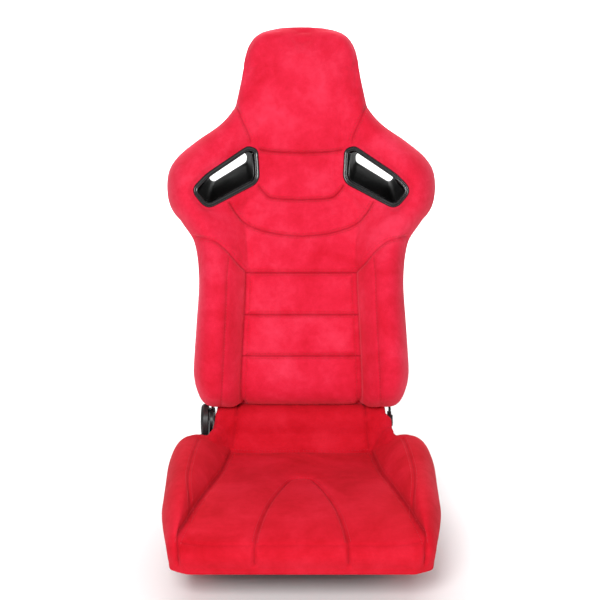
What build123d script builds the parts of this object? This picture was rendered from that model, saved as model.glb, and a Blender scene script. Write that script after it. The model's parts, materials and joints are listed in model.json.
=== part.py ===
"""Reclining racing seat on slide rails, in millimetres.

Frame: +X is the occupant's left, +Y is the back of the car, +Z is up, and the seat faces -Y.
The origin is the centre of the four floor bolts, at the underside of the rails.
"Left" and "right" are the occupant's; the recliner and its lever are on the right, at -X.
"""

import os
from math import cos, pi, radians, sin

from build123d import *

os.makedirs("parts", exist_ok=True)

# ---------------------------------------------------------------- driving dimensions
PIVOT_Y, PIVOT_Z = 120.0, 165.0  # recline axis, along X
RECLINE = 20.0  # backrest lean from vertical, degrees
BACK_HEIGHT = 815.0  # pivot to the top of the head

RAIL_X = 160.0  # rail centre line
RAIL_LENGTH = 350.0
RAIL_OUT = 23.5  # half the outer width of a lower rail
FOOT_LENGTH = 34.0
FOOT_HOLE = 8.5
FOOT_HOLE_Y = 193.0

BALL_R = 2.7
BALL_COUNT = 6
BALL_PITCH = 40.0
LOWER_BALL = (13.0, 5.25)  # offset from the rail's centre line, height
UPPER_BALL = (17.5, 23.25)

MEMBER_WEB = 179.0  # outer face of a side member
MEMBER_LOW, MEMBER_HIGH = 34.0, 84.0
SHEET = 3.0
MEMBER_FRONT, MEMBER_REAR = -240.0, 175.0
CROSS_Z, CROSS_R = 70.5, 10.0
FRONT_CROSS_Y, REAR_CROSS_Y = -120.0, 135.0
WIRE_R = 1.7

BASE_BOLTS = [(84.0, 52.0), (150.0, 52.0)]  # y, z of the bolts between frame and hinge plates

CUSHION_Z = 87.0  # underside of the seat cushion
TAIL_R = 34.0  # roll at the cushion's rear, round the recline axis
TAIL_HALF = 173.0  # clear of the pins' heads
FLAP_HALF = 186.0  # lip in front of the left hinge

PIN_R = 8.0
PIN_GAP = 0.05
SECTOR_TIP_R = 46.0
TOOTH_COUNT = 20
TOOTH_PITCH = 5.0  # degrees
TOOTH_HEIGHT = 3.0
PAWL_GAP = 0.4
PAWL_PIN = (PIVOT_Y + 36.0, PIVOT_Z - 62.0)  # y, z
LEVER_PIN = (PIVOT_Y - 28.0, PIVOT_Z - 80.0)
LEVER_ANGLE = 215.0  # rest direction of the handle, from +Y towards +Z
LEVER_LENGTH = 78.0
SHAFT_R = 6.0
CAP_R = 34.5

PAD_BACK = -18.0  # back face of the backrest pads, from the recline axis along FORWARD
PAD_INSET = 5.0  # pads inside the shell's outline
SHELL = 3.0
HOOP_R, HOOP_N = 9.0, -32.0

LATCH_PIVOT = (20.0, 48.0)  # y, z of the slide latch's pin
LATCH_X = 144.5
BAR_R = 5.0
SLOT_COUNT, SLOT_PITCH = 19, 12.0

lean = radians(RECLINE)
UP = Vector(0, sin(lean), cos(lean))  # along the backrest
FORWARD = Vector(0, -cos(lean), sin(lean))  # square to it, towards the occupant
PIVOT = Vector(0, PIVOT_Y, PIVOT_Z)

# Sketch planes of the backrest: x and up along it, forward and up along it.
back_front = Plane(origin=PIVOT, x_dir=(1, 0, 0), z_dir=FORWARD)
back_side = Plane(origin=PIVOT, x_dir=FORWARD, z_dir=(-1, 0, 0))


def write(piece, name):
    """Label a finished piece and write it as parts/NAME.step."""
    piece.label = name
    export_step(piece, f"parts/{name}.step")


def write_pair(piece, name):
    """Write a piece made on the +X side as NAME_left, and its mirror image as NAME_right."""
    write(piece, f"{name}_left")
    write(mirror(piece, about=Plane.YZ), f"{name}_right")


def on_back(x, s, n):
    """Point at x, s up the backrest and n forward of it."""
    return PIVOT + Vector(x, 0, 0) + UP * s + FORWARD * n


def polar(radius, angle):
    """Point at radius and angle (degrees from +Y towards +Z) round the recline axis, as (y, z)."""
    return (PIVOT_Y + radius * cos(radians(angle)), PIVOT_Z + radius * sin(radians(angle)))


# ---------------------------------------------------------------- slide rails
with BuildPart() as lower_rail:
    with BuildSketch(Plane.XZ) as section:
        with Locations((RAIL_X, 0)):
            Rectangle(2 * RAIL_OUT, 28, align=(Align.CENTER, Align.MIN))
        with Locations((RAIL_X, 2.5)):
            Rectangle(42, 23.5, align=(Align.CENTER, Align.MIN), mode=Mode.SUBTRACT)
            Rectangle(24, 30, align=(Align.CENTER, Align.MIN), mode=Mode.SUBTRACT)
    extrude(amount=RAIL_LENGTH / 2, both=True)
    # Row of latch slots in the inner lip.
    with Locations((RAIL_X - 15.5, -40, 27)):
        with GridLocations(0, SLOT_PITCH, 1, SLOT_COUNT):
            Box(5, 8, 6, mode=Mode.SUBTRACT)
write_pair(lower_rail.part, "lower_rail")

with BuildPart() as rail_feet:
    foot_y = RAIL_LENGTH / 2 + FOOT_LENGTH / 2
    with Locations(*[(sx * RAIL_X, sy * foot_y, 0) for sx in (-1, 1) for sy in (-1, 1)]):
        Box(2 * RAIL_OUT, FOOT_LENGTH, 4, align=(Align.CENTER, Align.CENTER, Align.MIN))
    with Locations(*[(sx * RAIL_X, sy * FOOT_HOLE_Y, 4) for sx in (-1, 1) for sy in (-1, 1)]):
        Hole(radius=FOOT_HOLE / 2)
    fillet(rail_feet.edges().filter_by(Axis.Z).filter_by(lambda e: abs(abs(e.center().Y) - 209) < 1), 8)
write(rail_feet.part, "rail_feet")

with BuildPart() as upper_rail:
    with BuildSketch(Plane.XZ) as section:
        with Locations((RAIL_X, 8)):
            Rectangle(20, 26, align=(Align.CENTER, Align.MIN))
            Rectangle(37, 2, align=(Align.CENTER, Align.MIN))
        with Locations((RAIL_X, 0)):
            Rectangle(16, 31.5, align=(Align.CENTER, Align.MIN), mode=Mode.SUBTRACT)
        with Locations((RAIL_X - UPPER_BALL[0], 8), (RAIL_X + UPPER_BALL[0], 8)):
            Rectangle(2, 12.5, align=(Align.CENTER, Align.MIN))
    extrude(amount=RAIL_LENGTH / 2, both=True)
    with Locations((RAIL_X, -140, 34), (RAIL_X, 140, 34)):
        Hole(radius=4.2, depth=10)
write_pair(upper_rail.part, "upper_rail")

ball_rows = [
    (side * RAIL_X + flank * offset, height)
    for side in (-1, 1)
    for flank in (-1, 1)
    for offset, height in (LOWER_BALL, UPPER_BALL)
]
with BuildPart() as rail_balls:
    for row_x, row_z in ball_rows:
        with Locations((row_x, 0, row_z)):
            with GridLocations(0, BALL_PITCH, 1, BALL_COUNT):
                Sphere(BALL_R)
write(rail_balls.part, "rail_balls")

with BuildPart() as ball_cages:
    for row_x, row_z in ball_rows:
        with Locations((row_x, 0, row_z)):
            Box(6.8, BALL_PITCH * BALL_COUNT, 1.2)
            with GridLocations(0, BALL_PITCH, 1, BALL_COUNT):
                Cylinder(BALL_R + 0.1, 3, mode=Mode.SUBTRACT)
write(ball_cages.part, "ball_cages")

with BuildPart() as rail_bolts:
    for bolt_x in (-RAIL_X, RAIL_X):
        for bolt_y in (-140, 140):
            with BuildSketch(Plane.XY.offset(MEMBER_LOW + SHEET)):
                with Locations((bolt_x, bolt_y)):
                    RegularPolygon(6.5, 6, major_radius=False)
            extrude(amount=5)
            with BuildSketch(Plane.XY.offset(22)):
                with Locations((bolt_x, bolt_y)):
                    Circle(4)
            extrude(amount=16)
            with BuildSketch(Plane.XY.offset(25)):
                with Locations((bolt_x, bolt_y)):
                    RegularPolygon(6.5, 6, major_radius=False, rotation=30)
            extrude(amount=6.5)
write(rail_bolts.part, "rail_bolts")

# ---------------------------------------------------------------- slide latch and its bar
with BuildPart() as latch_plate:
    with BuildSketch(Plane.YZ.offset(LATCH_X - 2)) as outline:
        with BuildLine():
            Polyline(
                (30, 48), (22, 57), (12, 56), (-20, 44), (-128, 45), (-128, 35), (-70, 31), (10, 31), close=True
            )
        make_face()
        with Locations(*[(-40 + step * SLOT_PITCH, 31) for step in (-1, 0, 1)]):
            Rectangle(6, 5.4, mode=Mode.ADD)
        with Locations(LATCH_PIVOT):
            Circle(4 + PIN_GAP, mode=Mode.SUBTRACT)
    extrude(amount=4)
write_pair(latch_plate.part, "slide_latch")

with BuildPart() as towel_bar:
    with BuildLine() as route:
        FilletPolyline(
            (LATCH_X, -128, 40),
            (LATCH_X, -265, 40),
            (-LATCH_X, -265, 40),
            (-LATCH_X, -128, 40),
            radius=28,
        )
    with BuildSketch(Plane(route.line @ 0, z_dir=route.line % 0)):
        Circle(BAR_R)
        Circle(BAR_R - 1.5, mode=Mode.SUBTRACT)
    sweep()
write(towel_bar.part, "towel_bar")

with BuildPart() as bar_grip:
    with BuildSketch(Plane.YZ.offset(-70)):
        with Locations((-265, 40)):
            Circle(BAR_R + 2.5)
            Circle(BAR_R, mode=Mode.SUBTRACT)
    extrude(amount=140)
    fillet(bar_grip.edges().filter_by(GeomType.CIRCLE).filter_by(lambda e: e.radius > BAR_R + 1), 1.5)
write(bar_grip.part, "bar_grip")

with BuildPart() as latch_brackets:
    for side in (-1, 1):
        with BuildSketch(Plane.YZ.offset(side * 151.5)):
            with Locations((LATCH_PIVOT[0], MEMBER_LOW + SHEET)):
                Rectangle(24, 11, align=(Align.CENTER, Align.MIN))
            with Locations(LATCH_PIVOT):
                Circle(10)
                Circle(4 + PIN_GAP, mode=Mode.SUBTRACT)
        extrude(amount=1.5, both=True)
write(latch_brackets.part, "latch_brackets")

with BuildPart() as latch_pins:
    for side in (-1, 1):
        with BuildSketch(Plane.YZ.offset(side * 139)):
            with Locations(LATCH_PIVOT):
                Circle(6)
        extrude(amount=side * 3)
        with BuildSketch(Plane.YZ.offset(side * 142)):
            with Locations(LATCH_PIVOT):
                Circle(4)
        extrude(amount=side * 11)
write(latch_pins.part, "latch_pins")

# ---------------------------------------------------------------- seat frame
with BuildPart() as side_member:
    with BuildSketch(Plane.XZ.offset(-MEMBER_REAR)):
        with Locations((MEMBER_WEB, MEMBER_LOW)):
            Rectangle(29, MEMBER_HIGH - MEMBER_LOW, align=(Align.MAX, Align.MIN))
        with Locations((MEMBER_WEB - SHEET, MEMBER_LOW + SHEET)):
            Rectangle(29, MEMBER_HIGH - MEMBER_LOW - 2 * SHEET, align=(Align.MAX, Align.MIN), mode=Mode.SUBTRACT)
    extrude(amount=MEMBER_REAR - MEMBER_FRONT)
    # Lightening holes in the web, bolt holes in the lower flange.
    with BuildSketch(Plane.YZ.offset(MEMBER_WEB - 10)):
        with Locations((-190, 59), (-60, 59), (0, 59)):
            Circle(12)
        with Locations(*BASE_BOLTS):
            Circle(4.1)
    extrude(amount=20, mode=Mode.SUBTRACT)
    with Locations((RAIL_X, -140, MEMBER_LOW + SHEET), (RAIL_X, 140, MEMBER_LOW + SHEET)):
        Hole(radius=4.2, depth=6)
write_pair(side_member.part, "side_member")


def cross_tube(name, y, z, radius, half):
    """Round tube between the two side members."""
    with BuildPart() as tube:
        with BuildSketch(Plane.YZ):
            with Locations((y, z)):
                Circle(radius)
                Circle(radius - 2, mode=Mode.SUBTRACT)
        extrude(amount=half, both=True)
    write(tube.part, name)


cross_tube("front_cross_tube", FRONT_CROSS_Y, CROSS_Z, CROSS_R, MEMBER_WEB - SHEET)
cross_tube("rear_cross_tube", REAR_CROSS_Y, CROSS_Z, CROSS_R, MEMBER_WEB - SHEET)

with BuildPart() as thigh_pan:
    with BuildSketch(Plane.XY.offset(MEMBER_HIGH)):
        with BuildLine():
            Polyline((-190, -318), (190, -318), (182, -135), (-182, -135), close=True)
        make_face()
    extrude(amount=2.5)
    with BuildSketch(Plane.XY.offset(MEMBER_HIGH)):
        with Locations((0, -220)):
            with GridLocations(100, 0, 3, 1):
                SlotOverall(70, 26, rotation=90)
    extrude(amount=3, mode=Mode.SUBTRACT)
    fillet(thigh_pan.edges().filter_by(Axis.Z).sort_by(Axis.Y)[:2], 25)
write(thigh_pan.part, "thigh_pan")


def zigzag(start, length, swing, count, radius):
    """Corner points of a flat zigzag spring along its first axis, centred on its second."""
    step = length / count
    points = [(start, 0)]
    for turn in range(count):
        reach = swing if turn % 2 else -swing
        points += [(start + turn * step + 0.15 * step, reach), (start + turn * step + 0.85 * step, reach)]
    points.append((start + length, 0))
    return FilletPolyline(*points, radius=radius)


with BuildPart() as seat_springs:
    spring_y = FRONT_CROSS_Y - 2
    for spring_x in (-108, -36, 36, 108):
        wire_plane = Plane(origin=(spring_x, 0, CROSS_Z + CROSS_R + WIRE_R + 0.05), x_dir=(0, 1, 0), z_dir=(0, 0, 1))
        with BuildLine(wire_plane) as wire:
            zigzag(spring_y, REAR_CROSS_Y - FRONT_CROSS_Y + 4, 17, 12, 6)
        with BuildSketch(Plane(wire.line @ 0, z_dir=wire.line % 0)):
            Circle(WIRE_R)
        sweep(path=wire.line)
write(seat_springs.part, "seat_springs")

# ---------------------------------------------------------------- seat cushion
# Side profile of the centre panel, (y, z): front edge, sitting surface, crease, roll round the recline axis.
cushion_top = [(-356, 136), (-325, 148), (-270, 151), (-190, 148), (-90, 137), (10, 123), (58, 121)]


def insert_half(y):
    """Half-width of the centre panel at y: it widens towards the front."""
    return 138.0 + 0.19 * (58.0 - y) if y < 58 else 138.0


with BuildPart() as seat_centre:
    with BuildSketch(Plane.YZ):
        with BuildLine():
            Line((PIVOT_Y + TAIL_R, CUSHION_Z), (-348, CUSHION_Z))
            Spline((-348, CUSHION_Z), (-366, 104), (-368, 120), cushion_top[0], tangents=[(-1, 0.4), (1, 0.9)])
            Spline(*cushion_top, tangents=[(1, 0.9), (1, 0.25)])
            Spline(cushion_top[-1], (80, 138), (PIVOT_Y - TAIL_R, PIVOT_Z), tangents=[(1, 0.25), (0, 1)])
            CenterArc((PIVOT_Y, PIVOT_Z), TAIL_R, 180, -180)
            Line((PIVOT_Y + TAIL_R, PIVOT_Z), (PIVOT_Y + TAIL_R, CUSHION_Z))
        make_face()
    extrude(amount=250, both=True)
    # Plan shape: wide at the front, narrow between the recliner plates, with a flap over the left hinge.
    with BuildSketch(Plane.XY):
        with BuildLine():
            Polyline(
                (-insert_half(-400), -400), (insert_half(-400), -400), (insert_half(58), 58), (insert_half(58), 64),
                (FLAP_HALF, 66), (FLAP_HALF, 97), (TAIL_HALF, 97), (TAIL_HALF, 160), (-TAIL_HALF, 160), (-TAIL_HALF, 66),
                (-insert_half(58), 64), (-insert_half(58), 58), close=True,
            )
        make_face()
    extrude(amount=300, mode=Mode.INTERSECT)
write(seat_centre.part, "seat_centre_pad")

# Cross-sections of a seat bolster: y, foot x, crest x, crest z, outer x.
seat_bolster_sections = [
    (62, 138.6, 196, 140, 228),
    (44, 141, 200, 163, 244),
    (-10, 151, 204, 182, 261),
    (-120, 172, 212, 190, 266),
    (-230, 193, 214, 188, 260),
    (-310, 208, 216, 172, 244),
    (-350, 216.5, 218, 146, 219.5),
]
with BuildPart() as seat_bolster:
    for y, foot, crest, height, outer in seat_bolster_sections:
        with BuildSketch(Plane.XZ.offset(-y)):
            with BuildLine():
                Polyline(
                    (foot, CUSHION_Z),
                    (foot, CUSHION_Z + 0.45 * (height - CUSHION_Z)),
                    (crest - 0.18 * (crest - foot), height - 1.5),
                    (crest + 0.25 * (outer - crest), height - 1),
                    (outer - 0.15 * (outer - crest), CUSHION_Z + 0.74 * (height - CUSHION_Z)),
                    (outer, CUSHION_Z + 0.42 * (height - CUSHION_Z)),
                    (outer - 0.16 * (outer - crest), CUSHION_Z),
                    close=True,
                )
            make_face()
    loft(ruled=True)
write_pair(seat_bolster.part, "seat_bolster")

# ---------------------------------------------------------------- backrest shell
# Half outline of the shell from the foot to the crown, (x, s).
half_outline = [
    (170, 34), (203, 44), (219, 75), (222, 105), (216, 200), (211, 290), (219, 360), (242, 405),
    (267, 442), (275, 480), (270, 520), (247, 552), (206, 584), (162, 617), (137, 654), (122, 715),
    (111, 768), (88, 799), (45, 813), (0, BACK_HEIGHT),
]
# Rear surface, (n, s).
back_curve = [(-40, 20), (-52, 100), (-62, 300), (-62, 480), (-50, 600), (-40, 700), (-35, 785), (-30, 832)]

def smooth(points, steps):
    """Catmull-Rom curve through the points, sampled steps times a span."""
    padded = [points[0]] + list(points) + [points[-1]]
    curve = []
    for index in range(len(points) - 1):
        p0, p1, p2, p3 = [Vector(*p) for p in padded[index:index + 4]]
        for step in range(steps):
            u = step / steps
            point = p1 * 2 + (p2 - p0) * u + (p0 * 2 - p1 * 5 + p2 * 4 - p3) * u**2
            point = (point + (p1 * 3 - p0 - p2 * 3 + p3) * u**3) * 0.5
            curve.append((point.X, point.Y))
    curve.append(points[-1])
    return curve


def shrink(points, inset):
    """Half outline moved inwards, square to itself, by inset."""
    moved = []
    for index, (x, s) in enumerate(points):
        before = Vector(*points[max(index - 1, 0)])
        after = Vector(*points[min(index + 1, len(points) - 1)])
        along = (after - before).normalized()
        moved.append((x - inset * along.Y, s + inset * along.X))
    moved[-1] = (0, points[-1][1] - inset)
    return moved


def back_prism(inset, near=-100, far=150):
    """Prism over the backrest's outline, moved inwards by inset, from near to far across it."""
    right = shrink(smooth(half_outline, 3), inset)
    left = [(-x, s) for x, s in reversed(right[:-1])]
    with BuildSketch(back_front.offset(near)) as area:
        with BuildLine():
            Polyline(*right, *left, close=True)
        make_face()
    return extrude(area.sketch, amount=far - near, mode=Mode.PRIVATE)


# Harness guide: six corners of its mouth on a tilted plane, and of its slot at the back of the shell.
GUIDE_X, GUIDE_S, GUIDE_N, GUIDE_TILT = 157.0, 513.0, 50.0, 17.8
mouth = [(71, -40), (37, -79), (-75, -20), (-71, 47), (-50, 54), (40, -7)]
slot = [(196, 509), (186, 500), (116, 543), (116, 557), (123, 563), (162, 540)]
tilt = radians(GUIDE_TILT)
mouth_plane = Plane(
    origin=on_back(GUIDE_X, GUIDE_S, GUIDE_N),
    x_dir=Vector(cos(tilt), 0, 0) + FORWARD * sin(tilt),
    z_dir=FORWARD * cos(tilt) - Vector(sin(tilt), 0, 0),
)
slot_plane = back_front.offset(-54)


def outline_prism(points, grow, near, far):
    """Prism across the backrest from near to far, over an outline grown outwards."""
    with BuildSketch(back_front.offset(near)) as area:
        with BuildLine():
            Polyline(*points, close=True)
        make_face()
        offset(amount=grow, kind=Kind.ARC)
    return extrude(area.sketch, amount=far - near, mode=Mode.PRIVATE)


mouth_on_back = [(GUIDE_X + x * cos(tilt), GUIDE_S + y) for x, y in mouth]
guide_space_left = outline_prism(mouth_on_back, 3, -30, 150) + outline_prism(slot, 7, -50, 14)
guide_space_right = mirror(guide_space_left, about=Plane.YZ)
slot_cut_left = outline_prism(slot, 3.2, -80, -30)
slot_cut_right = mirror(slot_cut_left, about=Plane.YZ)

def dish(inset, front):
    """Solid inside the outline by inset, from the rear surface moved forward by inset to a flat front."""
    with BuildPart() as block:
        with BuildSketch(back_side):
            with BuildLine():
                Polyline(*[(n + inset, s) for n, s in smooth(back_curve, 3)])
                Polyline((-30 + inset, 832), (front, 832), (front, 20), (-40 + inset, 20))
            make_face()
        extrude(amount=300, both=True)
        add(back_prism(inset), mode=Mode.INTERSECT)
    return block.part


with BuildPart() as back_shell:
    add(dish(0, -8))
    add(dish(SHELL, 20), mode=Mode.SUBTRACT)
    # Open foot, for the hinge arms.
    with Locations(Plane(origin=on_back(0, 30, -18), x_dir=(1, 0, 0), z_dir=FORWARD)):
        Box(386, 44, 44, mode=Mode.SUBTRACT)
    with Locations(*[Plane(origin=on_back(side * 236, 35, -55), x_dir=(1, 0, 0), z_dir=FORWARD) for side in (-1, 1)]):
        Box(128, 70, 50, mode=Mode.SUBTRACT)
    add(slot_cut_left, mode=Mode.SUBTRACT)
    add(slot_cut_right, mode=Mode.SUBTRACT)
    for side in (-1, 1):
        for s in (150, 330):
            with Locations(Plane(origin=on_back(side * 166, s, -50), z_dir=FORWARD)):
                Cylinder(3.3, 40, mode=Mode.SUBTRACT)
write(back_shell.part, "back_shell")

# ---------------------------------------------------------------- harness guides
def corner_loft(front_grow, rear_grow):
    """Tapered solid from the guide's mouth to its slot, both grown outwards."""
    with BuildSketch(mouth_plane) as front:
        with BuildLine():
            Polyline(*mouth, close=True)
        make_face()
    with BuildSketch(slot_plane) as rear:
        with BuildLine():
            Polyline(*slot, close=True)
        make_face()
    front_face = offset(front.sketch, amount=front_grow, kind=Kind.INTERSECTION, mode=Mode.PRIVATE)
    rear_face = offset(rear.sketch, amount=rear_grow, kind=Kind.INTERSECTION, mode=Mode.PRIVATE)
    return loft([front_face.face(), rear_face.face()], mode=Mode.PRIVATE)


with BuildPart() as harness_guide:
    add(corner_loft(-6.5, 2.8))
    with BuildSketch(mouth_plane):
        with BuildLine():
            Polyline(*mouth, close=True)
        make_face()
    extrude(amount=-7)
    add(corner_loft(-9.5, 0.2), mode=Mode.SUBTRACT)
    with BuildSketch(mouth_plane.offset(-8)):
        with BuildLine():
            Polyline(*mouth, close=True)
        make_face()
        offset(amount=-9.5, kind=Kind.INTERSECTION)
    extrude(amount=20, mode=Mode.SUBTRACT)
write_pair(harness_guide.part, "harness_guide")

# ---------------------------------------------------------------- backrest pads
with BuildPart() as rear_rings:
    add(outline_prism(slot, 12, -80, -30))
    add(outline_prism(slot, 3.4, -90, -20), mode=Mode.SUBTRACT)
    with BuildSketch(back_side):
        with BuildLine():
            outer_line = Polyline(*[(n - 0.2, s) for n, s in smooth(back_curve, 3)])
            inner_line = Polyline(*[(n - 3.2, s) for n, s in smooth(back_curve, 3)])
            Line(outer_line @ 0, inner_line @ 0)
            Line(outer_line @ 1, inner_line @ 1)
        make_face()
    extrude(amount=300, both=True, mode=Mode.INTERSECT)
write_pair(rear_rings.part, "rear_guide_ring")

# Front surface of the centre pads, (n, s), and depth to their flat back.
centre_front = [
    (34, 36), (46, 70), (47, 110), (44, 200), (30, 300), (22, 400), (20, 480), (24, 560),
    (36, 620), (46, 700), (46, 780), (36, 806), (16, 818),
]


def centre_pad(outline, lines=centre_front):
    """Pad over an outline (x, s) between PAD_BACK and the centre's front surface, clear of the shell."""
    rim = back_prism(PAD_INSET)
    with BuildSketch(back_front.offset(-100)) as area:
        with BuildLine():
            Polyline(*outline, close=True)
        make_face()
    block = extrude(area.sketch, amount=250, mode=Mode.PRIVATE)
    with BuildSketch(back_side) as side_view:
        with BuildLine():
            Polyline(*smooth(lines, 3), (PAD_BACK, lines[-1][1]), (PAD_BACK, lines[0][1]), close=True)
        make_face()
    section = extrude(side_view.sketch, amount=300, both=True, mode=Mode.PRIVATE)
    return (block & section & rim) - guide_space_left - guide_space_right


lower_half = [(117, 30), (109, 305), (108, 396), (60, 383)]
chest_half = [(60, 385), (109, 399), (145, 447), (149, 520), (104, 553.5)]
head_half = [(87, 556), (103, 584), (129, 642), (200, 642), (200, 830)]


def both_halves(half):
    """Closed outline from its right half, listed upwards or downwards."""
    return list(half) + [(-x, s) for x, s in reversed(half)]


write(centre_pad(both_halves(lower_half)), "backrest_main_pad")
write(centre_pad(both_halves(chest_half)), "backrest_chest_pad")
write(centre_pad(both_halves(head_half)), "headrest_pad")

# Cross-sections of the side pads: s, inner x, n at the inner edge, crest x, crest n, outer x.
bolster_sections = [
    (40, 119, 40, 160, 62, 192),
    (60, 118.5, 46, 176, 92, 207),
    (110, 117, 50, 180, 110, 216),
    (200, 113.5, 46, 174, 115, 209),
    (300, 110.5, 32, 172, 98, 206),
    (345, 110.5, 28, 174, 88, 212),
]
wing_sections = [
    (347, 112, 28, 174, 88, 212),
    (375, 115, 27, 180, 85, 217),
    (400, 120, 26, 186, 84, 229),
    (445, 148, 36, 208, 82, 260),
    (480, 151, 40, 214, 84, 267),
    (500, 151, 40, 211, 81, 264),
    (522, 151, 40, 206, 78, 254),
    (540, 151, 41, 194, 73, 239),
    (555, 151, 42, 180, 68, 223),
    (570, 132, 41, 164, 64, 202),
    (585, 112, 40, 148, 60, 184),
    (605, 117, 42, 138, 54, 161),
    (625, 125, 44, 132, 50, 142),
]


def side_pad(sections):
    """Loft of the side pad's cross-sections, on planes square to the backrest."""
    faces = []
    for s, inner, low, crest, high, outer in sections:
        plane = Plane(origin=on_back(0, s, 0), x_dir=(1, 0, 0), z_dir=UP * -1)
        with BuildSketch(plane) as section:
            with BuildLine():
                Polyline(
                    (inner, PAD_BACK),
                    (inner, low),
                    (crest - 0.22 * (crest - inner), high - 3),
                    (crest, high),
                    (crest + 0.55 * (outer - crest), high - 0.12 * (high + 8)),
                    (outer, -8 + 0.55 * (high + 8)),
                    (outer, PAD_BACK),
                    close=True,
                )
            make_face()
        faces.append(section.sketch.face())
    return loft(faces, ruled=True, mode=Mode.PRIVATE) - guide_space_left


write_pair(side_pad(bolster_sections), "backrest_bolster")
write_pair(side_pad(wing_sections), "shoulder_wing")

# ---------------------------------------------------------------- backrest frame
hoop_half = [(173.2, 60), (168, 170), (166, 385), (84, 470), (84, 600)]
with BuildPart() as hoop_frame:
    with BuildLine() as hoop_route:
        FilletPolyline(*[on_back(x, s, HOOP_N) for x, s in both_halves(hoop_half)], radius=30)
    with BuildSketch(Plane(hoop_route.line @ 0, z_dir=hoop_route.line % 0)):
        Circle(HOOP_R)
        Circle(HOOP_R - 2, mode=Mode.SUBTRACT)
    sweep(path=hoop_route.line)
    # Cross holes for the arm bolts.
    for s in (85, 125):
        with Locations(Plane(origin=on_back(0, s, HOOP_N), z_dir=(1, 0, 0))):
            Cylinder(4.1, 400, mode=Mode.SUBTRACT)
write(hoop_frame.part, "hoop_frame")

with BuildPart() as back_springs:
    for s in (210, 270, 330):
        wire_plane = Plane(origin=on_back(0, s, HOOP_N + HOOP_R + WIRE_R + 0.05), x_dir=(1, 0, 0), z_dir=FORWARD)
        with BuildLine(wire_plane) as wire:
            zigzag(-165, 330, 13, 14, 5)
        with BuildSketch(Plane(wire.line @ 0, z_dir=wire.line % 0)):
            Circle(WIRE_R)
        sweep(path=wire.line)
write(back_springs.part, "back_springs")

with BuildPart() as shell_screws:
    for side in (-1, 1):
        for s, seat in ((150, -56.0), (330, -62.8)):
            with BuildSketch(back_front.offset(seat - 2.5)):
                with Locations((side * 166, s)):
                    Circle(7)
            extrude(amount=2.5)
            with BuildSketch(back_front.offset(seat - 1)):
                with Locations((side * 166, s)):
                    Circle(3)
            extrude(amount=HOOP_N - HOOP_R - 0.1 - seat + 1)
write(shell_screws.part, "shell_screws")


# ---------------------------------------------------------------- recliner
with BuildPart() as sector_arm:
    with BuildSketch(back_side.offset(182.4)):
        with BuildLine():
            Polyline((-22, -6), (-37, 38), (-39, 140), (-23, 140), (-20, 34), (8, 16), close=True)
        make_face()
        Circle(26)
    extrude(amount=5)
    with BuildSketch(Plane.YZ.offset(-182.4)):
        arc_points = []
        for tooth in range(TOOTH_COUNT + 1):
            angle = 230 + tooth * TOOTH_PITCH
            arc_points.append(polar(SECTOR_TIP_R, angle - 0.8))
            arc_points.append(polar(SECTOR_TIP_R, angle + 0.8))
            if tooth < TOOTH_COUNT:
                arc_points.append(polar(SECTOR_TIP_R - TOOTH_HEIGHT, angle + 1.9))
                arc_points.append(polar(SECTOR_TIP_R - TOOTH_HEIGHT, angle + TOOTH_PITCH - 1.9))
        with BuildLine():
            Polyline((PIVOT_Y, PIVOT_Z), *arc_points, close=True)
        make_face()
    extrude(amount=-5)
    with BuildSketch(Plane.YZ.offset(-182.4)):
        with Locations((PIVOT_Y, PIVOT_Z)):
            Circle(PIN_R + PIN_GAP)
    extrude(amount=-5, mode=Mode.SUBTRACT)
    for s in (85, 125):
        with Locations(Plane(origin=on_back(-185, s, HOOP_N), z_dir=(1, 0, 0))):
            Cylinder(4.1, 20, mode=Mode.SUBTRACT)
write(sector_arm.part, "recliner_sector_arm")

with BuildPart() as hinge_arm:
    with BuildSketch(back_side.offset(-182.4)):
        with BuildLine():
            Polyline((-18, -6), (-37, 38), (-39, 140), (-23, 140), (-20, 34), (6, 14), close=True)
        make_face()
        Circle(20)
        Circle(PIN_R + PIN_GAP, mode=Mode.SUBTRACT)
    extrude(amount=-4)
    for s in (85, 125):
        with Locations(Plane(origin=on_back(185, s, HOOP_N), z_dir=(1, 0, 0))):
            Cylinder(4.1, 20, mode=Mode.SUBTRACT)
write(hinge_arm.part, "hinge_arm_left")

with BuildPart() as arm_bolts:
    for side, outside in ((-1, 187.5), (1, 186.5)):
        for s in (85, 125):
            shank = Plane(origin=on_back(side * 160, s, HOOP_N), x_dir=(0, 1, 0), z_dir=(side, 0, 0))
            with BuildSketch(shank):
                Circle(4)
            extrude(amount=outside - 160)
            head = Plane(origin=on_back(side * outside, s, HOOP_N), x_dir=(0, 1, 0), z_dir=(side, 0, 0))
            with BuildSketch(head):
                RegularPolygon(6.5, 6, major_radius=False)
            extrude(amount=4)
write(arm_bolts.part, "arm_bolts")


def disc(x, y, z, radius, thickness):
    """Sketch and extrude a disc along X from x outwards by thickness (its sign is the direction)."""
    with BuildSketch(Plane.YZ.offset(x)) as area:
        with Locations((y, z)):
            Circle(radius)
    return extrude(area.sketch, amount=thickness, mode=Mode.PRIVATE)


with BuildPart() as pivot_pin_right:
    add(disc(-175.5, PIVOT_Y, PIVOT_Z, 11, -3.4))
    add(disc(-178, PIVOT_Y, PIVOT_Z, PIN_R, -17))
write(pivot_pin_right.part, "pivot_pin_right")

with BuildPart() as pivot_pin_left:
    add(disc(175.5, PIVOT_Y, PIVOT_Z, 11, 3.4))
    add(disc(178, PIVOT_Y, PIVOT_Z, PIN_R, 11))
    add(disc(186.5, PIVOT_Y, PIVOT_Z, 12, 3))
write(pivot_pin_left.part, "pivot_pin_left")

plate_rivets = [(PIVOT_Y - 45, PIVOT_Z - 30), (PIVOT_Y + 46, PIVOT_Z - 28), (PIVOT_Y + 6, PIVOT_Z - 84)]


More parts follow.
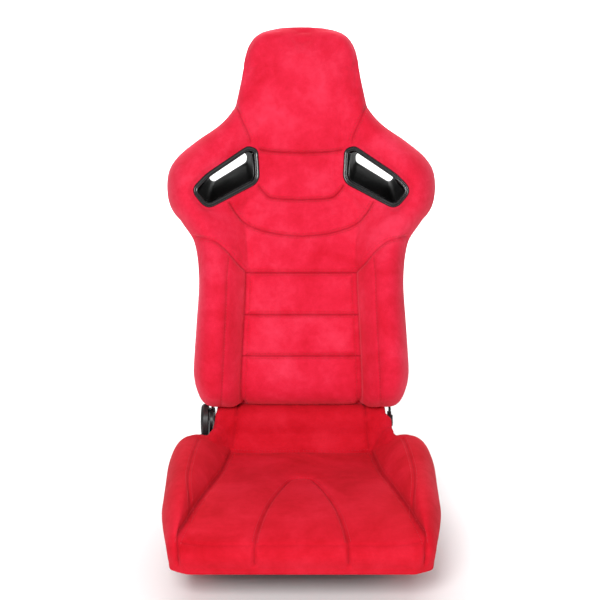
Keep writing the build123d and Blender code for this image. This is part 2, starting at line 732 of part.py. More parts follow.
def plate(x, thickness, low):
    """Recliner side plate at x, down to low."""
    with BuildPart() as flat:
        with BuildSketch(Plane.YZ.offset(x)):
            with BuildLine():
                Polyline(
                    (72, low), (168, low), (170, 110), (171, 140), (144, 176), (132, 189), (108, 189), (96, 176),
                    (69, 142), (74, 110), close=True,
                )
            make_face()
            with Locations((PIVOT_Y, PIVOT_Z)):
                Circle(PIN_R + PIN_GAP, mode=Mode.SUBTRACT)
            with Locations(LEVER_PIN, PAWL_PIN):
                Circle(SHAFT_R + PIN_GAP, mode=Mode.SUBTRACT)
            with Locations(*plate_rivets):
                Circle(3.05, mode=Mode.SUBTRACT)
            if low < MEMBER_HIGH:
                with Locations(*BASE_BOLTS):
                    Circle(4.1, mode=Mode.SUBTRACT)
        extrude(amount=-thickness)
    return flat.part


write(plate(-179, 3, 42), "recliner_inner_plate")
write(plate(-187.8, 3, 88), "recliner_outer_plate")

with BuildPart() as recliner_rivets:
    for y, z in plate_rivets:
        add(disc(-179, y, z, 3, -12))
        add(disc(-182, y, z, 5, -5.8))
        add(disc(-190.8, y, z, 5, -2))
write(recliner_rivets.part, "recliner_rivets")

with BuildPart() as pawl_pin:
    add(disc(-179, *PAWL_PIN, SHAFT_R, -14))
write(pawl_pin.part, "pawl_pin")

with BuildPart() as pawl:
    with BuildSketch(Plane.YZ.offset(-182.4)):
        tip_r = SECTOR_TIP_R + PAWL_GAP
        face_points = []
        for tooth in range(3):
            angle = 262.5 + tooth * TOOTH_PITCH
            face_points.append(polar(tip_r + 1.2, angle - 1.8))
            face_points.append(polar(tip_r, angle - 0.6))
            face_points.append(polar(tip_r, angle + 0.6))
            face_points.append(polar(tip_r + 1.2, angle + 1.8))
        with BuildLine():
            Polyline(
                *face_points, polar(54, 282), (PAWL_PIN[0] - 2, PAWL_PIN[1] + 9.8), (PAWL_PIN[0] - 2, PAWL_PIN[1] - 9.8),
                polar(63, 280), polar(60, 270), polar(60, 257), polar(52, 257), close=True,
            )
        make_face()
        with Locations(PAWL_PIN):
            Circle(10)
            Circle(SHAFT_R + PIN_GAP, mode=Mode.SUBTRACT)
    extrude(amount=-5)
write(pawl.part, "recliner_pawl")

with BuildPart() as lever_shaft:
    add(disc(-179, *LEVER_PIN, SHAFT_R, -38))
    add(disc(-182.4, *LEVER_PIN, 11, -5))
    with BuildSketch(Plane.YZ.offset(-182.4)):
        with BuildLine():
            Polyline(
                (LEVER_PIN[0] - 5, LEVER_PIN[1] + 9), (PIVOT_Y - 14, PIVOT_Z - 61), (PIVOT_Y - 9, PIVOT_Z - 63.5),
                (LEVER_PIN[0] + 9, LEVER_PIN[1] - 5), close=True,
            )
        make_face()
    extrude(amount=-5)
write(lever_shaft.part, "lever_shaft")

with BuildPart() as lever_handle:
    handle_plane = Plane(
        origin=(-211, *LEVER_PIN),
        x_dir=(0, cos(radians(LEVER_ANGLE)), sin(radians(LEVER_ANGLE))),
        z_dir=(-1, 0, 0),
    )
    with BuildSketch(handle_plane):
        Circle(11)
        with BuildLine():
            Polyline((0, 9), (LEVER_LENGTH, 6.5), (LEVER_LENGTH, -6.5), (0, -9), close=True)
        make_face()
        with Locations((LEVER_LENGTH, 0)):
            Circle(6.5)
    extrude(amount=9)
    fillet(lever_handle.faces().sort_by(Axis.X)[0].edges(), 2.5)
    with BuildSketch(handle_plane):
        Circle(SHAFT_R)
    extrude(amount=6, mode=Mode.SUBTRACT)
write(lever_handle.part, "lever_handle")

with BuildPart() as side_cover:
    with BuildSketch(Plane.YZ.offset(-183)):
        with Locations((120, 105)):
            RectangleRounded(112, 90, 10)
    extrude(amount=-26)
    fillet(side_cover.faces().sort_by(Axis.X)[0].edges(), 4)
    with BuildSketch(Plane.YZ.offset(-183)):
        with Locations((120, 105)):
            RectangleRounded(106, 84, 7)
    extrude(amount=-23, mode=Mode.SUBTRACT)
    # Open top, inboard of the outer wall, for the hinge plates.
    with BuildSketch(Plane.YZ.offset(-183)):
        with Locations((120, 140)):
            Rectangle(106, 60)
    extrude(amount=-9, mode=Mode.SUBTRACT)
    # Opening for the moving cap round the recline axis, and for the lever's shaft.
    with BuildSketch(Plane.YZ.offset(-183)):
        with Locations((PIVOT_Y, PIVOT_Z)):
            Circle(CAP_R + 1.5)
        with Locations(LEVER_PIN):
            Circle(SHAFT_R + 1.5)
    extrude(amount=-30, mode=Mode.SUBTRACT)
write(side_cover.part, "recliner_side_cover")

with BuildPart() as pivot_cap:
    with BuildSketch(Plane.YZ.offset(-192)):
        with Locations((PIVOT_Y, PIVOT_Z)):
            Circle(CAP_R)
    extrude(amount=-15)
    fillet(pivot_cap.faces().sort_by(Axis.X)[0].edges(), 7)
    with BuildSketch(Plane.YZ.offset(-192)):
        with Locations((PIVOT_Y, PIVOT_Z)):
            Circle(PIN_R)
    extrude(amount=-3, mode=Mode.SUBTRACT)
write(pivot_cap.part, "pivot_cap")

with BuildPart() as hinge_plate:
    with BuildSketch(Plane.YZ.offset(MEMBER_WEB)):
        with BuildLine():
            Polyline(
                (76, 42), (158, 42), (158, 70), (141, 83), (140, PIVOT_Z), (100, PIVOT_Z), (99, 83), (76, 70),
                close=True,
            )
        make_face()
        with Locations((PIVOT_Y, PIVOT_Z)):
            Circle(20)
            Circle(PIN_R + PIN_GAP, mode=Mode.SUBTRACT)
        with Locations(*BASE_BOLTS):
            Circle(4.1, mode=Mode.SUBTRACT)
    extrude(amount=SHEET)
write(hinge_plate.part, "hinge_plate_left")

with BuildPart() as base_bolts:
    for side in (-1, 1):
        for y, z in BASE_BOLTS:
            add(disc(side * 171, y, z, 4, side * 12))
            for x, thickness in ((171, 5), (182, 4)):
                with BuildSketch(Plane.YZ.offset(side * x)):
                    with Locations((y, z)):
                        RegularPolygon(6.5, 6, major_radius=False)
                extrude(amount=side * thickness)
write(base_bolts.part, "base_bolts")
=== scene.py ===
"""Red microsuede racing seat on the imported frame. Metres, row frame: seat faces -Y, +Z up."""

import json
from math import cos, pi, radians, sin

import bmesh
import bpy
import numpy as np
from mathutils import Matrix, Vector
from mathutils.bvhtree import BVHTree


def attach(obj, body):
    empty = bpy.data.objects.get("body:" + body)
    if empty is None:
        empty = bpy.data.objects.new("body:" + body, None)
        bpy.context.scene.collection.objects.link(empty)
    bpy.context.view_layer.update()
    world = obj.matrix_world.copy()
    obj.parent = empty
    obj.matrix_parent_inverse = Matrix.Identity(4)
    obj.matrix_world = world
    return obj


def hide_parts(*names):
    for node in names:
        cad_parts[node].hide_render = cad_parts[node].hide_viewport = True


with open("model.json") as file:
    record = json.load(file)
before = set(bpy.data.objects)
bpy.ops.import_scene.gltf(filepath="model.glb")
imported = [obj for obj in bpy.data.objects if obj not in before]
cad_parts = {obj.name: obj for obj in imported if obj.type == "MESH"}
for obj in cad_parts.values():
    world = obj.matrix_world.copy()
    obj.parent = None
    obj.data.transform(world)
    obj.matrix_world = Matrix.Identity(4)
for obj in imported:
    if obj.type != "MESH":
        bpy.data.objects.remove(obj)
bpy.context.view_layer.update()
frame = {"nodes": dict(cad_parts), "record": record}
scene = bpy.context.scene
scene.view_settings.view_transform = "Standard"
MM = 0.001

# ---------------------------------------------------------------- frame of the backrest
lean = radians(20)
PIVOT = np.array([0.0, 120.0, 165.0])
UP = np.array([0.0, sin(lean), cos(lean)])
FORWARD = np.array([0.0, -cos(lean), sin(lean)])
SIDE = np.array([1.0, 0.0, 0.0])


def on_back(x, s, n):
    """Points (mm) at x across, s up and n forward of the backrest, as an array of rows."""
    x, s, n = np.broadcast_arrays(*[np.asarray(a, float) for a in (x, s, n)])
    return PIVOT + x[..., None] * SIDE + s[..., None] * UP + n[..., None] * FORWARD


def flat_on_back(x, s, n):
    """Points (mm) at arrays of x and s, all n forward of the recline plane."""
    return on_back(x, s, np.full(len(x), float(n)))


def to_back(points):
    """(x, s, n) of points given in the row frame, in mm."""
    rel = points - PIVOT
    return rel @ SIDE, rel @ UP, rel @ FORWARD


def curve(knots):
    """Smooth function through (position, value) knots."""
    at = np.array([k[0] for k in knots], float)
    val = np.array([k[1] for k in knots], float)
    slope = np.gradient(val, at)

    def value(t):
        t = np.clip(t, at[0], at[-1])
        i = np.clip(np.searchsorted(at, t) - 1, 0, len(at) - 2)
        h = at[i + 1] - at[i]
        u = (t - at[i]) / h
        a = (1 + 2 * u) * (1 - u) ** 2 * val[i] + u * (1 - u) ** 2 * h * slope[i]
        return a + u * u * (3 - 2 * u) * val[i + 1] + u * u * (u - 1) * h * slope[i + 1]

    return value


def rounded(points, steps=6, closed=False):
    """Catmull-Rom curve through the points, as an array."""
    p = np.array(points, float)
    q = np.vstack([p[-1:], p, p[:2]]) if closed else np.vstack([p[:1], p, p[-1:]])
    out = []
    for i in range(len(q) - 3):
        a, b, c, d = q[i:i + 4]
        for u in np.arange(steps) / steps:
            square, cube = 2 * a - 5 * b + 4 * c - d, 3 * b - a - 3 * c + d
            out.append(0.5 * (2 * b + (c - a) * u + square * u**2 + cube * u**3))
    if not closed:
        out.append(p[-1])
    return np.array(out)


def distance(x, y, line, closed=False):
    """Distance from the points x, y to a polyline."""
    pts = np.vstack([line, line[:1]]) if closed else np.asarray(line)
    best = np.full(x.shape, 1e9)
    for a, b in zip(pts[:-1], pts[1:]):
        ab = b - a
        t = np.clip(((x - a[0]) * ab[0] + (y - a[1]) * ab[1]) / max(ab @ ab, 1e-9), 0, 1)
        best = np.minimum(best, np.hypot(x - a[0] - t * ab[0], y - a[1] - t * ab[1]))
    return best


def inside(x, y, line):
    """Whether the points x, y lie inside a closed polyline."""
    pts = np.asarray(line)
    hit = np.zeros(x.shape, bool)
    for a, b in zip(pts, np.roll(pts, -1, 0)):
        cross = (a[1] > y) != (b[1] > y)
        with np.errstate(divide="ignore", invalid="ignore"):
            hit ^= cross & (x < (b[0] - a[0]) * (y - a[1]) / (b[1] - a[1]) + a[0])
    return hit


def smooth01(t):
    t = np.clip(t, 0, 1)
    return t * t * (3 - 2 * t)


# ---------------------------------------------------------------- meshes
def make_object(name, verts_mm, faces, smooth=True):
    mesh = bpy.data.meshes.new(name)
    mesh.from_pydata((np.asarray(verts_mm) * MM).tolist(), [], [list(map(int, f)) for f in faces])
    mesh.update()
    obj = bpy.data.objects.new(name, mesh)
    scene.collection.objects.link(obj)
    if smooth:
        mesh.shade_smooth()
    return obj


def verts_of(obj):
    co = np.empty(len(obj.data.vertices) * 3)
    obj.data.vertices.foreach_get("co", co)
    return co.reshape(-1, 3) / MM


def set_verts(obj, co_mm):
    obj.data.vertices.foreach_set("co", (co_mm * MM).ravel())
    obj.data.update()


def normals_of(obj):
    no = np.empty(len(obj.data.vertices) * 3)
    obj.data.vertex_normals.foreach_get("vector", no)
    return no.reshape(-1, 3)


def apply_modifiers(obj):
    depsgraph = bpy.context.evaluated_depsgraph_get()
    mesh = bpy.data.meshes.new_from_object(obj.evaluated_get(depsgraph))
    old = obj.data
    name = obj.name
    obj.modifiers.clear()
    obj.data = mesh
    bpy.data.meshes.remove(old)
    mesh.name = name
    mesh.shade_smooth()


def remesh(obj, voxel_mm, smooth_steps):
    mod = obj.modifiers.new("voxels", "REMESH")
    mod.mode = "VOXEL"
    mod.voxel_size = voxel_mm * MM
    soft = obj.modifiers.new("soft", "SMOOTH")
    soft.factor = 0.5
    soft.iterations = smooth_steps
    apply_modifiers(obj)


def cut(obj, *cutters):
    for cutter in cutters:
        mod = obj.modifiers.new("cut", "BOOLEAN")
        mod.operation = "DIFFERENCE"
        mod.solver = "EXACT"
        mod.object = cutter
    apply_modifiers(obj)
    for cutter in cutters:
        bpy.data.objects.remove(cutter)


def join(name, *objs):
    """One object holding the meshes of several."""
    verts, faces, start = [], [], 0
    for o in objs:
        verts.append(verts_of(o))
        faces += [[start + v for v in p.vertices] for p in o.data.polygons]
        start += len(o.data.vertices)
        bpy.data.objects.remove(o)
    return make_object(name, np.vstack(verts), faces)


def pillow(name, rows, columns, place, base):
    """Closed mesh over a grid of points (mm) in rows and columns: place is the face, base the underside."""
    top = place.reshape(-1, 3)
    low = base.reshape(-1, 3)
    count = rows * columns
    idx = np.arange(count).reshape(rows, columns)
    faces = []
    for a in range(rows - 1):
        for b in range(columns - 1):
            i, j, k, l = idx[a, b], idx[a, b + 1], idx[a + 1, b + 1], idx[a + 1, b]
            faces.append((i, j, k, l))
            faces.append((l + count, k + count, j + count, i + count))
    rim = list(idx[0, :]) + list(idx[1:, -1]) + list(idx[-1, -2::-1]) + list(idx[-2:0:-1, 0])
    for i, j in zip(rim, rim[1:] + rim[:1]):
        faces.append((j, i, i + count, j + count))
    return make_object(name, np.vstack([top, low]), faces)


def face_out(obj):
    """Turns a closed mesh's faces outwards."""
    bm = bmesh.new()
    bm.from_mesh(obj.data)
    bmesh.ops.recalc_face_normals(bm, faces=bm.faces)
    bm.to_mesh(obj.data)
    bm.free()


def prism(name, outline, place, near, far):
    """Closed prism over an outline (2-D), where place(u, v, w) gives points in mm."""
    o = np.asarray(outline)
    a = place(o[:, 0], o[:, 1], near)
    b = place(o[:, 0], o[:, 1], far)
    n = len(o)
    faces = [list(range(n))[::-1], [n + i for i in range(n)]]
    faces += [(i, (i + 1) % n, n + (i + 1) % n, n + i) for i in range(n)]
    obj = make_object(name, np.vstack([a, b]), faces, smooth=False)
    face_out(obj)
    return obj


def loft(name, rings, close_ends=False, loop=False):
    """Mesh through equal closed rings of points (mm)."""
    n = len(rings[0])
    faces = []
    count = len(rings)
    for r in range(count if loop else count - 1):
        a, b = r * n, ((r + 1) % count) * n
        faces += [(a + i, a + (i + 1) % n, b + (i + 1) % n, b + i) for i in range(n)]
    if close_ends:
        faces.append(list(range(n))[::-1])
        faces.append([(count - 1) * n + i for i in range(n)])
    obj = make_object(name, np.vstack(rings), faces)
    face_out(obj)
    obj.data.shade_smooth()
    return obj


# ---------------------------------------------------------------- materials
def material(name, base, rough=0.5, metal=0.0):
    mat = bpy.data.materials.new(name)
    mat.use_nodes = True
    nt = mat.node_tree
    bsdf = nt.nodes["Principled BSDF"]
    bsdf.inputs["Base Color"].default_value = (*base, 1)
    bsdf.inputs["Roughness"].default_value = rough
    bsdf.inputs["Metallic"].default_value = metal
    return mat, nt, bsdf


def noise(nt, scale, detail=4.0, rough=0.6, distortion=0.0):
    if "Coords" not in nt.nodes:
        coords = nt.nodes.new("ShaderNodeTexCoord")
        coords.name = "Coords"
    tex = nt.nodes.new("ShaderNodeTexNoise")
    tex.inputs["Scale"].default_value = scale
    tex.inputs["Detail"].default_value = detail
    tex.inputs["Roughness"].default_value = rough
    tex.inputs["Distortion"].default_value = distortion
    nt.links.new(nt.nodes["Coords"].outputs["Object"], tex.inputs["Vector"])
    return tex


def ramp(nt, source, stops):
    node = nt.nodes.new("ShaderNodeValToRGB")
    while len(node.color_ramp.elements) < len(stops):
        node.color_ramp.elements.new(0.5)
    for element, (at, colour) in zip(node.color_ramp.elements, stops):
        element.position = at
        element.color = (*colour, 1) if len(colour) == 3 else colour
    nt.links.new(source, node.inputs["Fac"])
    return node


def bump(nt, bsdf, heights, strength=0.3, distance_m=0.0004):
    """Bump from a sum of (socket, weight)."""
    total = None
    for socket, weight in heights:
        mul = nt.nodes.new("ShaderNodeMath")
        mul.operation = "MULTIPLY"
        mul.inputs[1].default_value = weight
        nt.links.new(socket, mul.inputs[0])
        if total is None:
            total = mul.outputs[0]
        else:
            add = nt.nodes.new("ShaderNodeMath")
            nt.links.new(total, add.inputs[0])
            nt.links.new(mul.outputs[0], add.inputs[1])
            total = add.outputs[0]
    node = nt.nodes.new("ShaderNodeBump")
    node.inputs["Strength"].default_value = strength
    node.inputs["Distance"].default_value = distance_m
    nt.links.new(total, node.inputs["Height"])
    nt.links.new(node.outputs["Normal"], bsdf.inputs["Normal"])


def grey(v):
    return (v, v, v)


def shaded(colour, share):
    return tuple(c * share for c in colour)


def suede(name, dark, mid, light, crease, sheen):
    """Microsuede: nap brushed in soft patches, fine fibre grain, and painted shade along the seams, where the
    mesh's crease attribute mixes the colour towards the dark crease colour.
    """
    mat, nt, bsdf = material(name, mid, rough=0.88)
    patches = noise(nt, 11, 3, 0.5, 0.5)
    streaks = noise(nt, 70, 4, 0.65, 0.3)
    fibre = noise(nt, 1100, 3, 0.7)
    mix = nt.nodes.new("ShaderNodeMath")
    mix.operation = "MULTIPLY_ADD"
    mix.inputs[1].default_value = 0.30
    nt.links.new(streaks.outputs["Fac"], mix.inputs[0])
    share = nt.nodes.new("ShaderNodeMath")
    share.operation = "MULTIPLY"
    share.inputs[1].default_value = 0.70
    nt.links.new(patches.outputs["Fac"], share.inputs[0])
    nt.links.new(share.outputs[0], mix.inputs[2])
    nap = ramp(nt, mix.outputs[0], [(0.30, dark), (0.5, mid), (0.70, light)])
    grain = ramp(nt, fibre.outputs["Fac"], [(0.30, grey(0.80)), (0.70, grey(1.0))])
    tint = nt.nodes.new("ShaderNodeMix")
    tint.data_type = "RGBA"
    tint.blend_type = "MULTIPLY"
    tint.inputs["Factor"].default_value = 1.0
    nt.links.new(nap.outputs["Color"], tint.inputs["A"])
    nt.links.new(grain.outputs["Color"], tint.inputs["B"])
    # Painted seam shade: the mesh's crease attribute mixes the colour towards the dark crease colour.
    painted_seam_shade = nt.nodes.new("ShaderNodeAttribute")
    painted_seam_shade.attribute_name = "crease"
    seam_shade_mix = nt.nodes.new("ShaderNodeMix")
    seam_shade_mix.data_type = "RGBA"
    nt.links.new(painted_seam_shade.outputs["Fac"], seam_shade_mix.inputs["Factor"])
    nt.links.new(tint.outputs["Result"], seam_shade_mix.inputs["A"])
    seam_shade_mix.inputs["B"].default_value = (*crease, 1)
    nt.links.new(seam_shade_mix.outputs["Result"], bsdf.inputs["Base Color"])
    rough = ramp(nt, patches.outputs["Fac"], [(0.3, grey(0.95)), (0.7, grey(0.80))])
    nt.links.new(rough.outputs["Color"], bsdf.inputs["Roughness"])
    bsdf.inputs["Sheen Weight"].default_value = sheen
    bsdf.inputs["Sheen Roughness"].default_value = 0.5
    bsdf.inputs["Sheen Tint"].default_value = (1.0, 0.30, 0.40, 1)
    bsdf.inputs["Specular IOR Level"].default_value = 0.15
    relief = [(fibre.outputs["Fac"], 0.5), (streaks.outputs["Fac"], 0.5), (patches.outputs["Fac"], 0.3)]
    bump(nt, bsdf, relief, 0.45, 0.0005)
    return mat


def plastic(name, base, low, high, grain=700, strength=0.15):
    mat, nt, bsdf = material(name, base, rough=(low + high) / 2)
    wear = noise(nt, 24, 5, 0.6)
    cells = noise(nt, grain, 2, 0.5)
    rough = ramp(nt, wear.outputs["Fac"], [(0.3, grey(low)), (0.7, grey(high))])
    nt.links.new(rough.outputs["Color"], bsdf.inputs["Roughness"])
    tone = ramp(nt, wear.outputs["Fac"], [(0.3, shaded(base, 0.85)), (0.75, shaded(base, 1.25))])
    nt.links.new(tone.outputs["Color"], bsdf.inputs["Base Color"])
    bump(nt, bsdf, [(cells.outputs["Fac"], 1.0)], strength, 0.0002)
    return mat


def metal(name, base, low, high, metallic=1.0, grain=260):
    mat, nt, bsdf = material(name, base, metal=metallic)
    wear = noise(nt, 30, 5, 0.65)
    fine = noise(nt, grain, 3, 0.6)
    rough = ramp(nt, wear.outputs["Fac"], [(0.3, grey(low)), (0.72, grey(high))])
    nt.links.new(rough.outputs["Color"], bsdf.inputs["Roughness"])
    tone = ramp(nt, fine.outputs["Fac"], [(0.3, shaded(base, 0.8)), (0.7, shaded(base, 1.15))])
    nt.links.new(tone.outputs["Color"], bsdf.inputs["Base Color"])
    bump(nt, bsdf, [(fine.outputs["Fac"], 0.6), (wear.outputs["Fac"], 0.4)], 0.12, 0.0002)
    return mat


# Two copies of one red suede: the seat's is darker, painted shade for a cushion that lies flat under the
# lamps; the backrest's is lighter and pinker, painted light and sheen where it faces them.
LIT_BACK_RED = suede(
    "red_suede_lit_back", (0.68, 0.007, 0.026), (0.81, 0.016, 0.052), (0.91, 0.040, 0.095),
    (0.24, 0.002, 0.006), 0.22)
SHADED_SEAT_RED = suede(
    "red_suede", (0.56, 0.003, 0.011), (0.68, 0.007, 0.023), (0.78, 0.015, 0.040),
    (0.18, 0.002, 0.005), 0.05)
THREAD, thread_nt, thread_bsdf = material("red_thread", (0.62, 0.02, 0.04), rough=0.6)
thread_noise = noise(thread_nt, 500, 2)
thread_stops = [(0.3, (0.42, 0.006, 0.018)), (0.7, (0.68, 0.014, 0.038))]
thread_tone = ramp(thread_nt, thread_noise.outputs["Fac"], thread_stops)
thread_nt.links.new(thread_tone.outputs["Color"], thread_bsdf.inputs["Base Color"])
GLOSS = plastic("black_gloss", (0.008, 0.008, 0.009), 0.14, 0.26, grain=90, strength=0.05)
# Tunnel lining: black plastic, with its colour set even darker than the bezel's as painted shade inside the
# tunnel.
SHADED_SATIN = plastic("black_satin_shaded", (0.003, 0.003, 0.003), 0.45, 0.6, grain=500, strength=0.2)
SHADED_SATIN.node_tree.nodes["Principled BSDF"].inputs["Specular IOR Level"].default_value = 0.06
BLACK = plastic("black_plastic", (0.016, 0.016, 0.017), 0.42, 0.60)
SHELL = plastic("shell_plastic", (0.016, 0.016, 0.017), 0.45, 0.65, grain=420, strength=0.35)
CAGE = plastic("cage_plastic", (0.62, 0.60, 0.55), 0.4, 0.55)
PAINT = metal("frame_paint", (0.012, 0.012, 0.013), 0.32, 0.5, metallic=0.0)
RAIL = metal("rail_paint", (0.05, 0.05, 0.054), 0.35, 0.55, metallic=0.3)
ZINC = metal("zinc", (0.42, 0.42, 0.44), 0.28, 0.45)
WIRE = metal("wire", (0.30, 0.30, 0.31), 0.3, 0.5)
FINISH = {
    "rail_steel": RAIL, "zinc_steel": ZINC, "cage_plastic": CAGE, "frame_paint": PAINT, "spring_wire": WIRE,
    "black_plastic": BLACK, "shell_plastic": SHELL, "guide_gloss": GLOSS, "red_suede": SHADED_SEAT_RED,
}


def paint(obj, mat):
    obj.data.materials.clear()
    obj.data.materials.append(mat)


for part in frame["record"]["subparts"]:
    node = frame["nodes"][part["node"]]
    for place_slot in node.material_slots:
        place_slot.material = FINISH[part["material_slot"]]

# ---------------------------------------------------------------- backrest cover
half_outline = [
    (170, 33), (190, 37), (206, 49), (216, 68), (221, 92), (221.5, 118), (216, 200), (211, 290),
    (219, 360), (242, 405), (267, 442), (275, 480), (270, 520), (247, 552), (206, 584), (162, 617),
    (137, 654), (122, 715), (111, 768), (88, 799), (45, 813), (0, 815),
]
right_edge = rounded(half_outline, 6)
back_edge = np.vstack([right_edge, (right_edge * [-1, 1])[-2::-1]])
LIP = -7.5  # n of the cover's rear edge
FOOT_S, CROWN_S = 32.6, 814.2  # lower and upper end of the cover

centre_n = curve([
    (34, 36), (60, 45), (110, 48), (200, 44), (300, 31), (400, 22), (480, 20), (555, 24), (620, 36),
    (700, 45), (780, 44), (815, 40),
])
crest_n = curve([
    (34, 74), (60, 92), (110, 112), (200, 117), (300, 100), (360, 87), (450, 83), (520, 76), (580, 60),
    (620, 52), (660, 48), (700, 46), (815, 41),
])
crest_x = curve([
    (34, 160), (60, 168), (110, 176), (200, 172), (300, 170), (360, 178), (400, 192), (450, 212),
    (480, 218), (520, 212), (560, 182), (590, 152), (620, 130), (645, 112), (700, 92), (815, 60),
])
insert_x = curve([
    (34, 119), (110, 117), (220, 112), (307, 109), (345, 112), (403, 116), (440, 118), (470, 104),
    (500, 90), (560, 86), (590, 84), (640, 80), (700, 60), (815, 30),
])
round_r = curve([
    (34, 34), (100, 40), (300, 38), (400, 44), (450, 54), (490, 56), (520, 52), (560, 44), (600, 32),
    (640, 27), (700, 27), (815, 24),
])
# wing: 0 where the bolster is a round roll, 1 where it is a flatter shoulder wing.
wing = curve([(34, 0), (330, 0), (440, 1), (600, 1), (650, 1), (815, 1)])

# Mouth of the harness guides: six corners on a plane that rises outwards.
tilt = radians(17.8)
MOUTH_X, MOUTH_S, MOUTH_N = 157.0, 513.0, 50.0
mouth_corners = np.array([(71, -40), (37, -79), (-75, -20), (-71, 47), (-50, 54), (40, -7)], float)


def corner_round(points, cut_at):
    """Closed outline with each corner replaced by an arc that starts cut_at from it."""
    p = np.asarray(points, float)
    out = []
    for a, b, c in zip(np.roll(p, 1, 0), p, np.roll(p, -1, 0)):
        r = min(cut_at, 0.45 * np.linalg.norm(a - b), 0.45 * np.linalg.norm(c - b))
        s = b + (a - b) / np.linalg.norm(a - b) * r
        e = b + (c - b) / np.linalg.norm(c - b) * r
        for u in np.linspace(0, 1, 9):
            out.append((1 - u) ** 2 * s + 2 * u * (1 - u) * b + u * u * e)
    return np.array(out)


def grow(outline, amount):
    """Closed outline moved outwards, square to itself."""
    o = np.asarray(outline)
    along = np.roll(o, -1, 0) - np.roll(o, 1, 0)
    along /= np.linalg.norm(along, axis=1)[:, None]
    side = np.stack([along[:, 1], -along[:, 0]], 1)
    area = 0.5 * np.sum(o[:, 0] * np.roll(o[:, 1], -1) - np.roll(o[:, 0], -1) * o[:, 1])
    return o + side * amount * (1 if area > 0 else -1)


mouth = corner_round(mouth_corners, 19)
mouth_xs = np.stack([MOUTH_X + mouth[:, 0] * cos(tilt), MOUTH_S + mouth[:, 1]], 1)


def mouth_plane_n(ax):
    return MOUTH_N + (ax - MOUTH_X) * np.tan(tilt)


back_seams = {
    "side": rounded([(119, 34), (118, 90), (114, 180), (110, 260), (109, 307)], 5),
    "bolster_top": rounded([(216, 379), (196, 375), (172, 369), (148, 350), (126, 324), (109, 307)], 5),
    "band_3": np.array([(0, 307), (109, 307)], float),
    "band_2": np.array([(0, 221), (112, 221)], float),
    "band_1": np.array([(0, 136), (116, 136)], float),
    "chest": rounded([(0, 382), (52, 387), (104, 402), (128, 424), (146, 450), (155, 466)], 5),
    "upper": rounded([(0, 457), (45, 459), (66, 463), (78, 474), (86, 486)], 4),
    "neck": rounded([(0, 553), (55, 555), (92, 561)], 4),
    "collar": rounded([(137, 652), (127, 632), (113, 604), (104, 582), (104, 570)], 4),
    "flank": rounded([(146, 336), (149, 300), (150, 240), (154, 150), (160, 60), (164, 34)], 5),
}
SEAM_DEPTH = {  # mm
    "side": 6.5, "bolster_top": 4.0, "band_3": 6.0, "band_2": 6.2, "band_1": 6.2, "chest": 4.6, "upper": 5.5,
    "neck": 5.5, "collar": 3.0, "flank": 1.2,
}
SEAM_SHADE_WIDTH = 1.7  # half width of the painted shade strip along a sewn line, mm
SEAM_SHADE = {  # how much painted shade each sewn line gets
    "side": 0.25, "bolster_top": 0.4, "flank": 0.2, "collar": 0.5, "chest": 0.65, "upper": 0.7, "neck": 0.8,
    "band_1": 0.8, "band_2": 0.8, "band_3": 0.8,
}
CLOTH_FRAMES = 16  # length of each pressure simulation
SEAM_WIDTH = {"band_1": 5.5, "band_2": 5.5, "band_3": 5.5, "side": 5.0, "flank": 3.0}


def back_n(x, s):
    """Height of the cover's front over the recline plane, before seams."""
    ax = np.abs(x)
    nc, nb, xi, xc = centre_n(s), crest_n(s), insert_x(s), crest_x(s)
    t = np.clip((ax - xi) / (xc - xi), 0, 1)
    bulge = np.sin(pi / 2 * t)
    w = wing(s)
    share = (1 - w) * bulge + w * (t * (1.25 - 0.25 * t))
    n = nc + (nb - nc) * share
    n += 2.5 * np.cos(np.clip(ax / np.maximum(xi, 30), 0, 1) * pi / 2) * smooth01((640 - s) / 60)
    near = distance(ax, s, mouth_xs, closed=True)
    near = np.where(inside(ax, s, mouth_xs), 0, near)
    blend = np.exp(-((near / 17) ** 2))
    n = n * (1 - blend) + (mouth_plane_n(ax) + 1.0) * blend
    d = distance(x, s, back_edge, closed=True)
    foot = np.clip((s - FOOT_S) / (10 + 0.26 * (n - 30)), 0, 1)
    r = round_r(s)
    side = np.clip(d / r, 0, 1)
    fall = np.sqrt(np.clip(1 - (1 - side) ** 2.2, 0, 1)) * np.sqrt(np.clip(1 - (1 - foot) ** 2.2, 0, 1))
    crown = np.clip((813.5 - s) / 22, 0, 1)
    fall = fall * np.sqrt(np.clip(1 - (1 - crown) ** 2.2, 0, 1))
    return LIP + (n - LIP) * fall


def seam_field(x, y, seams, depth, width, puff, reach):
    """(groove, puff) of a set of seams at x, y."""
    groove = np.zeros(x.shape)
    nearest = np.full(x.shape, 1e9)
    for name, line in seams.items():
        d = distance(x, y, line)
        groove = np.maximum(groove, depth[name] * np.exp(-((d / width.get(name, 4.0)) ** 2)))
        nearest = np.minimum(nearest, d)
    return groove, puff * (1 - np.exp(-nearest / reach))


def spread(low, high, count, share):
    """Values from low to high, closer together at both ends by share."""
    even = np.linspace(0, 1, count)
    return low + (high - low) * (0.5 - 0.5 * np.cos(even * pi)) * share + (high - low) * even * (1 - share)


def across(count, share):
    """Values from -1 to 1, closer together at both ends by share."""
    even = np.linspace(-1, 1, count)
    return np.sin(even * pi / 2) * share + even * (1 - share)


